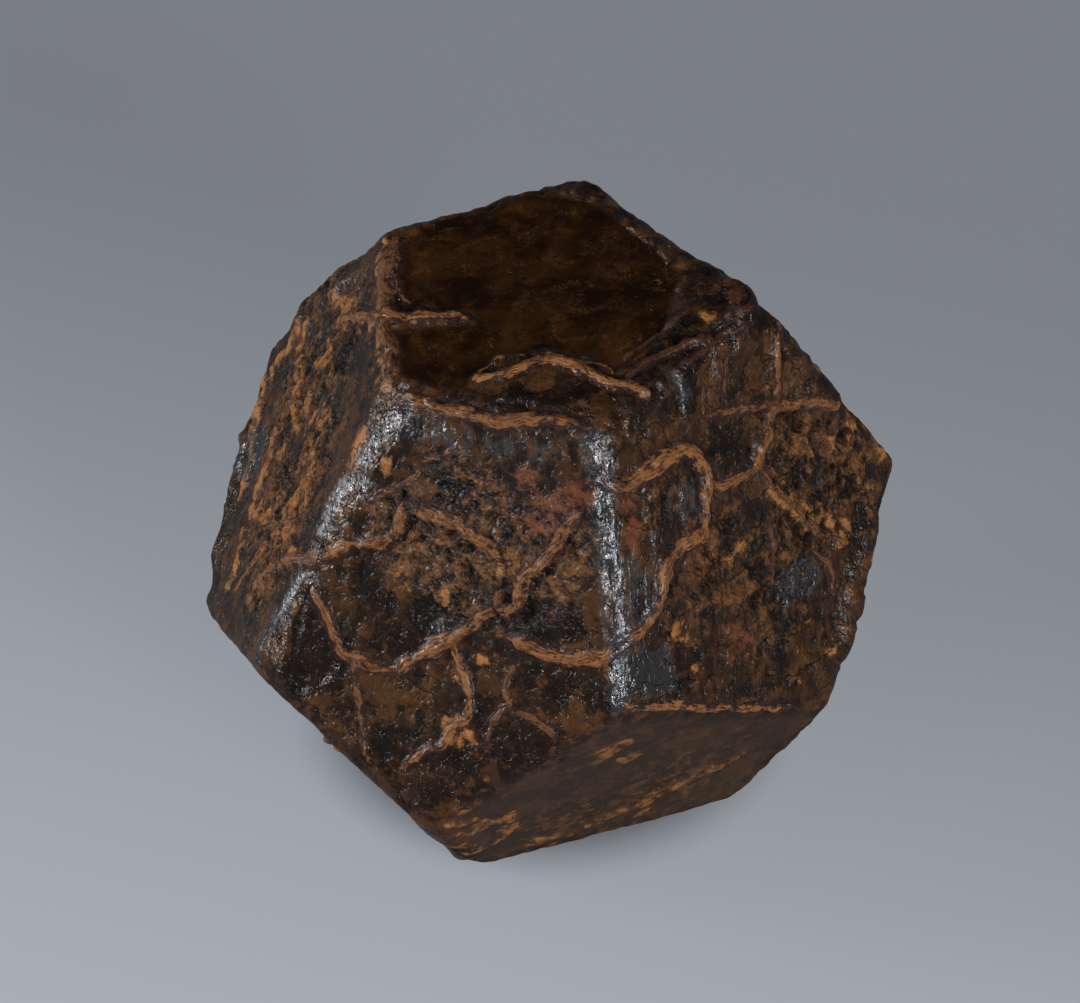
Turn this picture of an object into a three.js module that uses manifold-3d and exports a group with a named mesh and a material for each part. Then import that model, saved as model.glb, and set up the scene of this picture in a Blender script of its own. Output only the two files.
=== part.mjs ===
// A pyrite crystal that has weathered to brown limonite and goethite: a pyritohedron with
// twelve five-sided faces, worn edges, raised veins of iron oxide, and smooth sunken panes.
// Millimetres, +Z up. It lies on one face, and the origin is the bottom middle of its box.

import * as THREE from 'three';
import { ConvexGeometry } from 'three/addons/geometries/ConvexGeometry.js';
import { mergeVertices } from 'three/addons/utils/BufferGeometryUtils.js';
import Module from 'manifold-3d';

const wasm = await Module();
wasm.setup();

// ---- Driving dimensions ----

const EDGE_ROUND = 0.7; // radius of the worn edges and corners
const TURN = -55; // degrees that the crystal is turned about +Z
const CENTRE = new THREE.Vector3(-0.4, -0.5, 11.1); // the crystal's centre, above the face it rests on

const VEIN_STEP = 1.3; // spacing of the lumps that a vein is made of
const LUMP_CHANGE = 0.18; // how far a vein's width changes along it, as a share
const LUMP_WAVE = 2.3; // radians of that change from one lump to the next

const PANE_DEPTH = 0.35; // how far a smooth pane lies below its face
const PIT_DEPTH = 0.5; // depth of a three-cornered pit
const CRUST_HEIGHT = 0.2; // how far a plate of crust stands above its face
const CLEAR = 2; // how far a cutter stands above the face, and a plate reaches below it
const TOUCH = 1e-5; // how near two points are when they count as one

// The form {2 1 0}. Each face has its Miller index, its reach from the crystal's centre,
// and how far it leans from the perfect form, in degrees about X and then Y.
const FACES = {
  top: { index: [0, 1, -2], reach: 12.4, lean: [3, -8] },
  right: { index: [2, 0, -1], reach: 12.4, lean: [3, 0] },
  left: { index: [1, 2, 0], reach: 11.9, lean: [3, 4] },
  side: { index: [-1, 2, 0], reach: 10.7, lean: [-7, 1] },
  sill: { index: [2, 0, 1], reach: 12.4, lean: [4, 2] },
  under_left: { index: [0, 1, 2], reach: 12.5, lean: [1, 2] },
  shoulder: { index: [0, -1, -2], reach: 11.8, lean: [-7, 2] },
  under_right: { index: [1, -2, 0], reach: 11.8, lean: [3, 2] },
  under_back: { index: [-2, 0, 1], reach: 12.9, lean: [-8, -4] },
  back_low: { index: [-1, -2, 0], reach: 12.0, lean: [0, 0] },
  back_high: { index: [-2, 0, -1], reach: 12.3, lean: [8, 10] },
  rest: { index: [0, -1, 2], reach: 11.1, lean: [0, 0] },
};

// Places on the crystal are [bearing, rise] in degrees, as seen from its centre: the bearing
// runs from +X towards +Y, and the rise is up from level.

// Raised veins: width and height in millimetres, and the places that each one runs through.
const VEINS = {
  top_spur: {
    width: 0.8, height: 0.35,
    route: [[158, 43], [166, 50], [-170, 63], [-163, 69], [-158, 72], [-147, 75]],
  },
  top_rim: {
    width: 0.35, height: 0.2,
    route: [[153, 61], [166, 63], [176, 64], [-175, 66], [-168, 68]],
  },
  top_loop: {
    width: 0.85, height: 0.4,
    route: [[-113, 62], [-103, 65], [-92, 67], [-80, 67], [-72, 63], [-67, 60], [-62, 57], [-59, 55]],
  },
  top_left_edge: {
    width: 0.7, height: 0.25,
    route: [[-137, 52], [-126, 55], [-117, 55], [-108, 55], [-99, 55], [-91, 55], [-83, 54], [-77, 52]],
  },
  top_side_edge: {
    width: 1, height: 0.25,
    route: [[144, 59], [157, 60], [173, 61], [-173, 61], [-155, 60], [-144, 56], [-137, 53]],
  },
  top_right_edge: {
    width: 0.9, height: 0.3,
    route: [[-63, 58], [-51, 59], [-41, 60], [-31, 59], [-22, 59], [-14, 58]],
  },
  ring: {
    width: 0.85, height: 0.35,
    route: [
      [-79, 44], [-69, 43], [-65, 44], [-57, 45], [-50, 45], [-47, 42], [-46, 38], [-49, 35],
      [-52, 30], [-59, 29], [-63, 28], [-65, 25], [-67, 21], [-70, 18], [-74, 17], [-78, 15],
      [-82, 14], [-85, 14], [-91, 15], [-96, 16],
    ],
  },
  right_branch: {
    width: 0.75, height: 0.3,
    route: [[-46, 37], [-39, 35], [-32, 35], [-29, 37], [-22, 41], [-17, 38], [-12, 35], [-8, 31]],
  },
  right_branch_up: {
    width: 0.45, height: 0.2,
    route: [[-22, 42], [-19, 44], [-14, 47], [-12, 49], [-10, 41]],
  },
  right_branch_low: {
    width: 0.45, height: 0.2,
    route: [[-32, 35], [-29, 30], [-29, 24], [-25, 17], [-18, 11]],
  },
  bar: {
    width: 0.8, height: 0.35,
    route: [
      [-158, 0], [-156, 6], [-151, 11], [-140, 20], [-133, 25], [-127, 28], [-124, 32], [-122, 37],
      [-116, 37], [-108, 36], [-101, 33], [-97, 31],
    ],
  },
  stroke: {
    width: 0.8, height: 0.3,
    route: [
      [-81, 39], [-85, 36], [-89, 31], [-92, 28], [-95, 22], [-100, 20], [-105, 15], [-110, 11],
      [-115, 7], [-118, 4],
    ],
  },
  hook: {
    width: 0.6, height: 0.25,
    route: [[-139, 19], [-137, 14], [-134, 11], [-131, 7], [-128, 4], [-126, 4], [-122, 4]],
  },
  hook_low: {
    width: 0.45, height: 0.2,
    route: [[-127, 4], [-125, 0], [-123, -5], [-121, -9], [-119, -12]],
  },
  drip: {
    width: 0.55, height: 0.25,
    route: [[-107, 12], [-104, 8], [-103, 4], [-102, 0], [-105, -3], [-107, -6], [-112, -10], [-114, -12]],
  },
  hair: {
    width: 0.3, height: 0.15,
    route: [[-94, 11], [-95, 6], [-94, 3], [-93, 3], [-89, 1], [-87, 0]],
  },
  sill_edge: {
    width: 0.5, height: 0.2,
    route: [[-78, 14], [-78, 11], [-77, 8], [-74, 6], [-66, 2], [-51, -6], [-36, -12]],
  },
  left_worn_ridge: {
    width: 0.45, height: 0.2,
    route: [[-132, 49], [-134, 46], [-135, 44], [-136, 40], [-138, 37]],
  },
  left_light_ridge: {
    width: 0.35, height: 0.15,
    route: [[-111, 52], [-116, 48], [-120, 46], [-122, 42], [-126, 39], [-132, 35]],
  },
  back_long: {
    width: 0.85, height: 0.35,
    route: [[88, 62], [80, 52], [66, 42], [56, 30], [52, 16], [58, 2], [70, -10], [80, -20], [84, -32]],
  },
  back_fork: {
    width: 0.75, height: 0.3,
    route: [[60, 36], [44, 34], [32, 24], [20, 16], [12, 4], [10, -10], [4, -20], [8, -32]],
  },
  back_side: {
    width: 0.8, height: 0.35,
    route: [[120, 52], [116, 40], [126, 28], [134, 14], [130, 0], [138, -14], [148, -26], [152, -38]],
  },
  under_loop: {
    width: 0.75, height: 0.3,
    route: [[148, -26], [164, -22], [178, -28], [-168, -36], [-154, -38], [-142, -30], [-134, -18]],
  },
  under_fork: {
    width: 0.5, height: 0.25,
    route: [[14, -18], [26, -22], [38, -18], [50, -26], [62, -28], [70, -38]],
  },
  side_streak: {
    width: 0.5, height: 0.25,
    route: [[-168, 34], [-172, 22], [-174, 10], [-170, -2], [-172, -12]],
  },
};

// Swollen stretches of edge, made as the veins are, of round lumps sunk below the edge.
const EDGE_LUMPS = {
  near_corner: { width: 1.8, height: 0.9, sink: 0.65, route: [[-2, 59], [-9, 58], [-15, 56], [-20, 54]] },
  top_far: { width: 1.5, height: 0.75, sink: 0.6, route: [[98, 62], [86, 63], [74, 61], [64, 58]] },
  side_far: { width: 1.7, height: 0.85, sink: 0.55, route: [[142, 38], [140, 30], [139, 20]] },
  side_low: { width: 1.5, height: 0.75, sink: 0.55, route: [[150, -5], [158, -11], [166, -16]] },
  right_low: { width: 1.4, height: 0.7, sink: 0.55, route: [[-14, 7], [-19, 1], [-25, -6]] },
  back_middle: { width: 1.6, height: 0.8, sink: 0.6, route: [[48, 1], [57, 5], [67, 9]] },
  sill_left: { width: 1.4, height: 0.7, sink: 0.6, route: [[-107, -24], [-106, -32], [-105, -39]] },
};

// Smooth sunken panes, each on one face, inside the outline that its places draw.
const PANES = {
  top_pane: {
    face: 'top',
    outline: [
      [145, 62], [161, 63], [177, 64], [-173, 66], [-168, 68], [-154, 76], [-142, 75], [-158, 68],
      [-165, 62], [-151, 60], [-139, 58], [-126, 58], [-113, 60], [-114, 65], [-109, 69], [-92, 71],
      [-77, 69], [-68, 65], [-62, 61], [-50, 62], [-36, 63], [-24, 65], [-3, 66], [30, 69], [66, 67],
      [89, 66], [112, 65], [132, 63],
    ],
  },
  back_pane: {
    face: 'back_high',
    outline: [[100, 44], [92, 38], [88, 28], [94, 18], [104, 12], [116, 16], [122, 26], [114, 36]],
  },
  under_pane: {
    face: 'under_right',
    outline: [[-8, -14], [-14, -22], [-12, -32], [0, -36], [4, -28], [2, -18]],
  },
};

// Three-cornered pits, cut deeper than a pane.
const PITS = {
  left_pit: {
    face: 'left',
    outline: [[-138, 13], [-135, 9], [-130, 5], [-129, 2], [-130, -1], [-134, -4], [-137, -1], [-139, 6]],
  },
  back_pit: {
    face: 'back_low',
    outline: [[50, -8], [60, -14], [56, -24], [48, -20]],
  },
};

// Low plates of crust, left standing where the rest of the face has flaked off.
const CRUSTS = {
  top_corner: {
    face: 'top',
    outline: [[-7, 64], [-26, 63], [-37, 62], [-32, 60], [-23, 60], [-14, 60]],
  },
  top_shelf: {
    face: 'top',
    outline: [[-105, 63], [-92, 66], [-80, 66], [-71, 61], [-73, 57], [-83, 57], [-95, 58], [-104, 59]],
  },
  left_shelf: {
    face: 'left',
    outline: [[-129, 49], [-115, 51], [-117, 49], [-122, 46], [-124, 42], [-129, 39], [-132, 42]],
  },
  right_plate: {
    face: 'right',
    outline: [[-66, 42], [-61, 44], [-53, 44], [-49, 41], [-50, 37], [-53, 32], [-59, 31], [-66, 25]],
  },
  right_bark: {
    face: 'right',
    outline: [[-46, 55], [-37, 55], [-40, 50], [-48, 47], [-50, 49]],
  },
  shoulder_plate: {
    face: 'shoulder',
    outline: [[30, 48], [16, 38], [22, 30], [36, 40]],
  },
  back_plate: {
    face: 'back_low',
    outline: [[72, -18], [84, -14], [86, -26], [74, -32]],
  },
};

// Round dents: place, width across and depth in millimetres.
const DENTS = [
  { place: [-113, 17], width: 1.7, depth: 0.35 },
  { place: [-92, 21], width: 1.1, depth: 0.3 },
  { place: [-28, 56], width: 1.3, depth: 0.35 },
  { place: [-56, 55], width: 1.0, depth: 0.25 },
  { place: [28, 26], width: 1.6, depth: 0.3 },
  { place: [160, -14], width: 1.4, depth: 0.3 },
  { place: [-160, -28], width: 1.2, depth: 0.3 },
];

// ---- The twelve faces ----

// Turns the rest face to point straight down, because it leans 1 in 2 from a cube face.
const FACE_DOWN = Math.PI - Math.atan(1 / 2);
const toRadians = THREE.MathUtils.degToRad;
const AXIS_X = new THREE.Vector3(1, 0, 0);
const AXIS_Y = new THREE.Vector3(0, 1, 0);
const AXIS_Z = new THREE.Vector3(0, 0, 1);

for (const face of Object.values(FACES)) {
  face.normal = new THREE.Vector3(...face.index).normalize();
  face.normal.applyAxisAngle(AXIS_X, FACE_DOWN);
  face.normal.applyAxisAngle(AXIS_Z, toRadians(TURN));
  face.normal.applyAxisAngle(AXIS_X, toRadians(face.lean[0]));
  face.normal.applyAxisAngle(AXIS_Y, toRadians(face.lean[1]));
}

// The point where three faces meet, with each face moved in by `inset`.
function meetingPoint(a, b, c, inset) {
  const planes = new THREE.Matrix3().set(
    ...a.normal.toArray(), ...b.normal.toArray(), ...c.normal.toArray(),
  );
  const reaches = new THREE.Vector3(a.reach, b.reach, c.reach).subScalar(inset);
  return Math.abs(planes.determinant()) < TOUCH ? null : reaches.applyMatrix3(planes.invert());
}

// The crystal's corners: the meeting points that no other face cuts off.
function corners(inset) {
  const faces = Object.values(FACES);
  const found = [];
  for (let i = 0; i < faces.length; i += 1) {
    for (let j = i + 1; j < faces.length; j += 1) {
      for (let k = j + 1; k < faces.length; k += 1) {
        const point = meetingPoint(faces[i], faces[j], faces[k], inset);
        if (point && faces.every((face) => face.normal.dot(point) < face.reach - inset + TOUCH)) {
          found.push(point);
        }
      }
    }
  }
  return found;
}

// ---- Places on the surface, measured from the crystal's centre ----

function direction([bearing, rise]) {
  const around = toRadians(bearing);
  const level = Math.cos(toRadians(rise));
  return new THREE.Vector3(Math.cos(around) * level, Math.sin(around) * level, Math.sin(toRadians(rise)));
}

// Where a ray from the centre leaves the crystal, and the face that it leaves through.
function surfaceAt(ray) {
  let point = null;
  let normal = null;
  for (const face of Object.values(FACES)) {
    const along = face.normal.dot(ray);
    if (along > 0 && (!point || face.reach / along < point.length())) {
      point = ray.clone().multiplyScalar(face.reach / along);
      normal = face.normal;
    }
  }
  return { point, normal };
}

// Axes that lie in a surface, with Z along its normal.
function surfaceFrame(point, normal) {
  const across = new THREE.Vector3().crossVectors(AXIS_Z, normal).normalize();
  const up = new THREE.Vector3().crossVectors(normal, across);
  return new THREE.Matrix4().makeBasis(across, up, normal).setPosition(point);
}

// ---- Solids ----

function toSolid(geometry) {
  const bare = geometry.clone();
  bare.deleteAttribute('normal');
  bare.deleteAttribute('uv');
  const merged = mergeVertices(bare, TOUCH);
  return new wasm.Manifold(new wasm.Mesh({
    numProp: 3,
    vertProperties: merged.attributes.position.array,
    triVerts: merged.index.array,
  }));
}

function pointsOf(geometry) {
  const { count } = geometry.attributes.position;
  const points = Array.from({ length: count }, () => new THREE.Vector3());
  points.forEach((point, i) => point.fromBufferAttribute(geometry.attributes.position, i));
  return points;
}

// The bare crystal: a hull round a small ball in each corner, so that its edges are rounded.
function crystalBody() {
  const ball = pointsOf(new THREE.IcosahedronGeometry(EDGE_ROUND, 1));
  const points = corners(EDGE_ROUND).flatMap((corner) => ball.map((point) => point.clone().add(corner)));
  return toSolid(new ConvexGeometry(points));
}

// The points of a lump, with its middle sunk below the surface where a ray leaves the crystal.
function lump(ray, width, height, sink) {
  const { point, normal } = surfaceAt(ray);
  const shape = new THREE.IcosahedronGeometry(1, 0);
  shape.scale(width / 2, width / 2, height);
  return pointsOf(shape.applyMatrix4(surfaceFrame(point.addScaledVector(ray, -sink), normal)));
}

// A vein: lumps along its route, each joined to the next by a hull.
function veinLinks({ width, height, sink = 0, route }) {
  const curve = new THREE.CatmullRomCurve3(route.map((place) => surfaceAt(direction(place)).point));
  const count = Math.ceil(curve.getLength() / VEIN_STEP);
  const rays = curve.getSpacedPoints(count).map((point) => point.normalize());
  const lumps = rays.map((ray, i) => {
    const swell = 1 + LUMP_CHANGE * Math.sin(LUMP_WAVE * i);
    return lump(ray, width * swell, height * swell, sink);
  });
  return lumps.slice(1).map((points, i) => toSolid(new ConvexGeometry([...lumps[i], ...points])));
}

// A prism over the part of a face inside an outline, from one height above the face to another.
function outlinePrism({ face, outline }, from, to) {
  const { normal, reach } = FACES[face];
  const frame = surfaceFrame(normal.clone().multiplyScalar(reach + from), normal);
  const inFace = frame.clone().invert();
  const points = outline.map((place) => {
    const ray = direction(place);
    const onFace = ray.multiplyScalar(reach / normal.dot(ray)).applyMatrix4(inFace);
    return new THREE.Vector2(onFace.x, onFace.y);
  });
  const prism = new THREE.ExtrudeGeometry(new THREE.Shape(points), { depth: to - from, bevelEnabled: false });
  return toSolid(prism.applyMatrix4(frame));
}

function dentCutter({ place, width, depth }) {
  const { point, normal } = surfaceAt(direction(place));
  const shape = new THREE.IcosahedronGeometry(1, 1);
  shape.scale(width / 2, width / 2, depth);
  return toSolid(shape.applyMatrix4(surfaceFrame(point, normal)));
}

// ---- The crystal ----

const crusts = Object.values(CRUSTS).map((crust) => outlinePrism(crust, -CLEAR, CRUST_HEIGHT));
const sunken = [
  ...Object.values(PANES).map((pane) => outlinePrism(pane, -PANE_DEPTH, CLEAR)),
  ...Object.values(PITS).map((pit) => outlinePrism(pit, -PIT_DEPTH, CLEAR)),
  ...DENTS.map(dentCutter),
];
const links = [...Object.values(EDGE_LUMPS), ...Object.values(VEINS)].flatMap(veinLinks);

let solid = crystalBody();
for (const crust of crusts) {
  solid = solid.add(crust);
}
for (const cutter of sunken) {
  solid = solid.subtract(cutter);
}
for (const link of links) {
  solid = solid.add(link);
}

const { numProp, vertProperties, triVerts } = solid.getMesh();
const geometry = new THREE.BufferGeometry();
geometry.setAttribute('position', new THREE.BufferAttribute(vertProperties, numProp));
geometry.setIndex(new THREE.BufferAttribute(triVerts, 1));
geometry.computeVertexNormals();

const limonite = new THREE.MeshStandardMaterial({ color: 0x3b2517, roughness: 0.45, metalness: 0.1 });
const crystal = new THREE.Mesh(geometry, limonite);
crystal.name = 'pyrite_crystal';
crystal.position.copy(CENTRE);

const group = new THREE.Group();
group.add(crystal);

export default group;
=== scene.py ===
# %% [markdown]
# # A pyrite crystal that has rusted to limonite
#
# This crystal grew as a pyritohedron, a solid with twelve five-sided faces, and was once brassy.
# Later it rusted in the ground, so now it is a dark brown crust with raised veins of orange rust,
# a few glossy panes and edges worn to a silvery shine. It is all one piece of stone. So the lesson
# makes one mesh: it cuts a block to the twelve faces, divides them finely, and then sculpts the
# rounded edges, veins, pits and grain by moving vertices in code.

# %% Load the CAD frame
import math

import bmesh
import bpy
import numpy as np
from mathutils import Matrix, Vector, noise


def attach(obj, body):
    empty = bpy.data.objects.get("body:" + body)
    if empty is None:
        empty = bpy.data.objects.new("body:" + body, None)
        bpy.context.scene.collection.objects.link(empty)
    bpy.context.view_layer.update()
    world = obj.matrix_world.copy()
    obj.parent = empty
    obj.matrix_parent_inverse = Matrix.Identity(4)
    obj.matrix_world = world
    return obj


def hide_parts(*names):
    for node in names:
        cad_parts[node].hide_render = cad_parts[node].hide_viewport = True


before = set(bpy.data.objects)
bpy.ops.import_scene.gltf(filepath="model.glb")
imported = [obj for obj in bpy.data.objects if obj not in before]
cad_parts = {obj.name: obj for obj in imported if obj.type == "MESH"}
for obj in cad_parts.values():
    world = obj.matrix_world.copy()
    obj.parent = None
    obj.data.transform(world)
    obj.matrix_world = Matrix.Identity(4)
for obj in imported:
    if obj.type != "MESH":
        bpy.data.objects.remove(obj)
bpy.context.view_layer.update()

# %% [markdown]
# ## The twelve faces
#
# A crystal's faces have fixed directions, which mineral books give as three whole numbers each, and
# every face of a pyritohedron is some order of 2, 1 and 0. The form could be drawn corner by corner,
# but the numbers are shorter and exact. Each face here has its numbers, its reach from the crystal's
# centre, and the small lean that makes this crystal uneven as real ones are. The last entry names
# the neighbour whose shared edge the face's growth lines follow.

# %% Face directions, in millimetres from the crystal's centre
MM = 0.001
CENTRE = np.array((-0.4, -0.5, 11.1))
TURN = math.radians(-55)
FACE_DOWN = math.pi - math.atan(1 / 2)

FACES = {
    "top": ((0, 1, -2), 12.4, (3, -8), "left"),
    "right": ((2, 0, -1), 12.4, (3, 0), "left"),
    "left": ((1, 2, 0), 11.9, (3, 4), "right"),
    "side": ((-1, 2, 0), 10.7, (-7, 1), "left"),
    "sill": ((2, 0, 1), 12.4, (4, 2), "left"),
    "under_left": ((0, 1, 2), 12.5, (1, 2), "left"),
    "shoulder": ((0, -1, -2), 11.8, (-7, 2), "top"),
    "under_right": ((1, -2, 0), 11.8, (3, 2), "right"),
    "under_back": ((-2, 0, 1), 12.9, (-8, -4), "side"),
    "back_low": ((-1, -2, 0), 12.0, (0, 0), "back_high"),
    "back_high": ((-2, 0, -1), 12.3, (8, 10), "back_low"),
    "rest": ((0, -1, 2), 11.1, (0, 0), "back_low"),
}
FACE_NAMES = list(FACES)


def face_normal(index, lean):
    lean_x, lean_y = (math.radians(angle) for angle in lean)
    turn = Matrix.Rotation(lean_y, 3, "Y") @ Matrix.Rotation(lean_x, 3, "X")
    turn = turn @ Matrix.Rotation(TURN, 3, "Z") @ Matrix.Rotation(FACE_DOWN, 3, "X")
    return turn @ Vector(index).normalized()


NORMALS = np.array([face_normal(index, lean) for index, _, lean, _ in FACES.values()])
REACHES = np.array([reach for _, reach, _, _ in FACES.values()])
print("faces:", len(FACES))

# %% [markdown]
# ## The cut block
#
# A gem cutter would saw a block twelve times, and so does this cell: `bisect_plane` cuts and clears
# what lies outside, and `edgeloop_fill` closes the cut. Poking each face gives five triangles round
# a middle point, and `subdivide_edges` divides them into even small triangles, about 0.17 mm long,
# which is fine enough to sculpt a vein about 0.4 mm wide.

# %% Cut the block and divide its faces
BLOCK = 60
FIRST_CUTS = 6
HALVINGS = 3


def into_scene(name, data):
    """Adds an object with this mesh, lamp or camera to the scene."""
    made = bpy.data.objects.new(name, data)
    bpy.context.scene.collection.objects.link(made)
    return made


block = bmesh.new()
bmesh.ops.create_cube(block, size=BLOCK)
for normal, reach in zip(NORMALS, REACHES):
    whole = block.verts[:] + block.edges[:] + block.faces[:]
    cut = bmesh.ops.bisect_plane(
        block, geom=whole, dist=1e-5, plane_co=normal * reach, plane_no=normal, clear_outer=True)
    rim = [part for part in cut["geom_cut"] if isinstance(part, bmesh.types.BMEdge)]
    bmesh.ops.edgeloop_fill(block, edges=rim)
bmesh.ops.recalc_face_normals(block, faces=block.faces[:])
print("cut block:", len(block.verts), "corners,", len(block.faces), "faces")

bmesh.ops.poke(block, faces=block.faces[:])
bmesh.ops.subdivide_edges(block, edges=block.edges[:], cuts=FIRST_CUTS, use_grid_fill=True)
for _ in range(HALVINGS):
    bmesh.ops.subdivide_edges(block, edges=block.edges[:], cuts=1, use_grid_fill=True)

crystal_mesh = bpy.data.meshes.new("crystal_skin")
block.to_mesh(crystal_mesh)
block.free()
crystal = into_scene("crystal_skin", crystal_mesh)
COUNT = len(crystal_mesh.vertices)
print("divided:", COUNT, "vertices,", len(crystal_mesh.polygons), "triangles")

# %% [markdown]
# ## Worn edges
#
# The real edges are rounded by wear, a little more in some places than others, and most at the
# corners. A Bevel modifier would make them all alike. Here each vertex is slid onto a smooth
# surface instead: where two faces come within `WEAR` of each other, their distances are added as
# in a right triangle, which draws an arc across the edge.

# %% Slide the vertices onto the rounded form
WEAR = 0.6
WEAR_CHANGE = 0.45
BROAD_EDGES = (("left", "side", 0.55), ("left", "right", 0.25))


def wave(places, size, octaves=2, shift=0.0):
    """Smooth noise from about -1 to 1 at each place, with humps `size` millimetres long."""
    start = Vector((shift + 3.1, 2 * shift - 1.7, 7.3 - shift))
    return np.array([noise.fractal(Vector(place) / size + start, 1.0, 2.0, octaves) for place in places])


def ease(value, low, high):
    """0 below low, 1 above high, and a smooth step between."""
    t = np.clip((value - low) / (high - low), 0, 1)
    return t * t * (3 - 2 * t)


sharp = np.empty(COUNT * 3)
crystal_mesh.vertices.foreach_get("co", sharp)
sharp = sharp.reshape(-1, 3)

wear = WEAR * (1 + WEAR_CHANGE * wave(sharp, 4.0, 2, 5.0))
for first, second, extra in BROAD_EDGES:
    sides = [FACE_NAMES.index(first), FACE_NAMES.index(second)]
    depth = np.linalg.norm(REACHES[sides] - sharp @ NORMALS[sides].T, axis=1)
    wear += extra * (1 - ease(depth, 0.4, 2.0))
skin = sharp.copy()
for _ in range(5):
    over = np.maximum(skin @ NORMALS.T - REACHES + wear[:, None], 0)
    size = np.linalg.norm(over, axis=1)
    slope = over @ NORMALS / size[:, None]
    skin -= slope * ((size - wear) / (slope ** 2).sum(1))[:, None]
outward = slope / np.linalg.norm(slope, axis=1)[:, None]

gaps = skin @ NORMALS.T - REACHES
order = np.argsort(-gaps, axis=1)
own_face = order[:, 0]
edge_gap = -np.take_along_axis(gaps, order[:, 1:2], 1)[:, 0]
print("largest slide: %.2f mm" % np.linalg.norm(skin - sharp, axis=1).max())

# %% [markdown]
# ## Places on the surface
#
# Everything on the crystal is placed as on a globe: a bearing round from +X towards +Y, and a rise
# up from level, both in degrees and seen from the crystal's centre. Small random shifts, called
# `roam` here, are added to the vertices before any distance is measured, so that every line and
# outline wanders a little, as a natural one does.

# %% Find a place, and let outlines wander


def direction(place):
    bearing, rise = (math.radians(angle) for angle in place)
    level = math.cos(rise)
    return np.array((math.cos(bearing) * level, math.sin(bearing) * level, math.sin(rise)))


def spot(place):
    """The point where a ray at this bearing and rise leaves the sharp crystal."""
    ray = direction(place)
    facing = NORMALS @ ray
    return ray * min(REACHES[facing > 0] / facing[facing > 0])


LONG_ROAM = 0.2
SHORT_ROAM = 0.07
roam = np.stack([wave(skin, 1.7, 3, shift) for shift in (11.0, 12.0, 13.0)], 1) * LONG_ROAM
roam += np.stack([wave(skin, 0.5, 2, shift) for shift in (14.0, 15.0, 16.0)], 1) * SHORT_ROAM
roamed = skin + roam
print("the outlines wander by up to %.2f mm" % np.linalg.norm(roam, axis=1).max())

# %% [markdown]
# ## Raised veins
#
# Rust filled the cracks and stands proud of the crust as rounded, fibrous ridges. They could be
# separate tubes, but real ones grow out of the surface, so they are sculpted from it: a vertex
# rises by how near it is to a smooth line through the places of a route. Each vein has a width and
# a height in millimetres, and a tone from 0, dull and purplish, to 1, a warm tan.

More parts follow.
